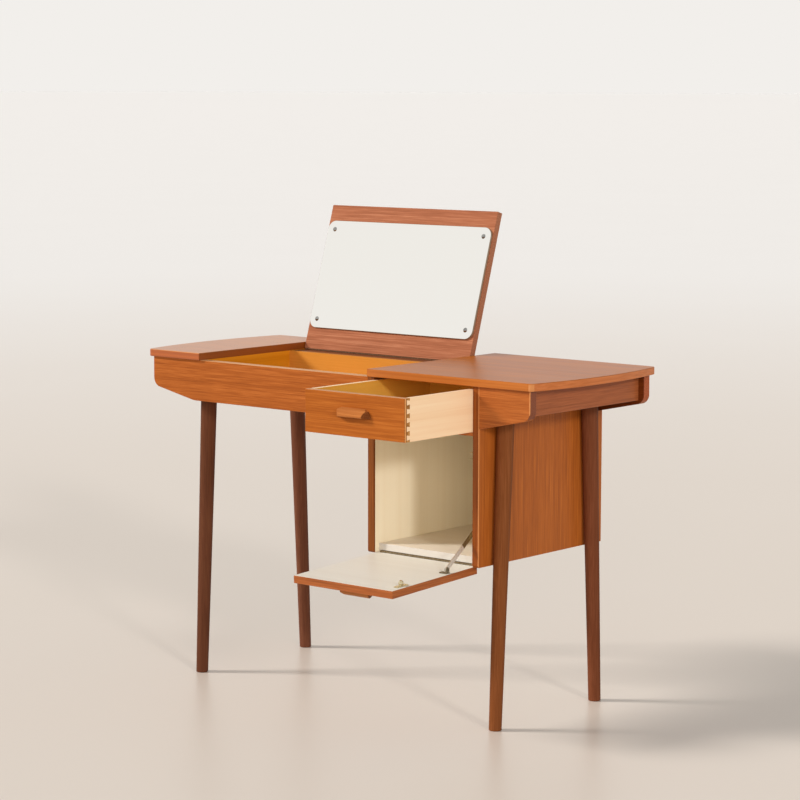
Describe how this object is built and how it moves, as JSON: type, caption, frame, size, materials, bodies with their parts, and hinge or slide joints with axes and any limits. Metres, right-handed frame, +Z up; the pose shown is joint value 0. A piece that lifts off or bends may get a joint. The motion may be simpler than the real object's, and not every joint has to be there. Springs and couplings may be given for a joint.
{
  "type": "vanity table with mirror",
  "caption": "Teak vanity table with a lift-up mirror lid over a lined well, a hanging cabinet with a dovetailed drawer and drop flap, bowed ends and round tapered legs.",
  "frame": {"origin": "On the floor, under the middle of the standing outline with the lid up, the drawer part way out and the flap down; the middle of the table top is 106.7 mm further back.", "axes": "+X to the right along the table's length as seen from the front, +Y from the front to the back, +Z up."},
  "size_m": [1.112, 0.6962, 1.0279],
  "materials": {
    "teak": "oiled teak veneer, satin",
    "dark_turned_wood": "stained turned beech, satin",
    "amber_lacquer": "amber clear lacquer on pale plywood, semi-gloss",
    "pale_wood": "bare beech, matt",
    "cream_paint": "cream paint on board, satin",
    "silvered_glass": "silvered plate glass with polished edge",
    "chrome_trim": "polished chrome",
    "steel": "plain bright steel",
    "brass_fitting": "worn brass"
  },
  "bodies": {
    "table": {"top_left": "teak", "top_right": "teak", "front_rail": "teak", "front_apron": "teak", "back_rail_left": "teak", "back_rail_right": "teak", "end_panel_left": "teak", "end_panel_right": "teak", "leg_front_left": "dark_turned_wood", "leg_back_left": "dark_turned_wood", "leg_front_right": "dark_turned_wood", "leg_back_right": "dark_turned_wood", "leg_batten_left": "pale_wood", "leg_batten_right": "pale_wood", "cabinet_side_left": "teak", "cabinet_side_right": "teak", "cabinet_bottom": "cream_paint", "cabinet_back": "cream_paint", "cabinet_divider": "pale_wood", "well_left_wall": "amber_lacquer", "well_bottom": "amber_lacquer", "well_back_wall": "amber_lacquer", "hinge_rail": "teak", "rear_shelf": "teak", "lid_hinge_plates": "steel", "lid_hinge_pins": "steel", "door_hinge_plates": "steel", "door_hinge_pins": "steel", "stay_stud": "steel", "catch_clip": "brass_fitting"},
    "lid": {"lid_panel": "teak", "mirror_glass": "silvered_glass", "mirror_screws": "chrome_trim", "lid_hinge_leaves": "steel"},
    "drawer": {"drawer_front": "teak", "drawer_side_left": "pale_wood", "drawer_side_right": "pale_wood", "drawer_back": "pale_wood", "drawer_bottom": "pale_wood", "drawer_pull": "teak"},
    "door": {"door_panel": "teak", "door_hinge_leaves": "steel", "door_pull": "teak", "stay_bracket": "steel", "stay_rivet": "steel", "catch_striker": "brass_fitting"},
    "stay": {"stay_arm": "steel"},
    "keeper": {"stay_keeper": "steel"}
  },
  "joints": [
    {"name": "lid_hinge", "type": "hinge", "parent": "table", "child": "lid", "pos_m": [-0.1335, 0.2324, 0.70375], "axis": [1, 0, 0], "range_deg": [0, 107.2]},
    {"name": "drawer_slide", "type": "slide", "parent": "table", "child": "drawer", "axis": [0, 1, 0], "range_m": [-0.056, 0.212]},
    {"name": "door_hinge", "type": "hinge", "parent": "table", "child": "door", "pos_m": [0.2495, -0.0835, 0.3372], "axis": [-1, 0, 0], "range_deg": [0, 92.7]},
    {"name": "stay_pivot", "type": "hinge", "parent": "door", "child": "stay", "pos_m": [0.3696, -0.16873, 0.34019], "axis": [-1, 0, 0], "range_deg": [-46.35, 0]},
    {"name": "keeper_pivot", "type": "hinge", "parent": "table", "child": "keeper", "pos_m": [0.3696, -0.06287, 0.41995], "axis": [-1, 0, 0], "range_deg": [0, 46.35]}
  ],
  "couplings": [
    {"joint": "stay_pivot", "follows": "door_hinge", "ratio": -0.5},
    {"joint": "keeper_pivot", "follows": "door_hinge", "ratio": 0.5}
  ]
}
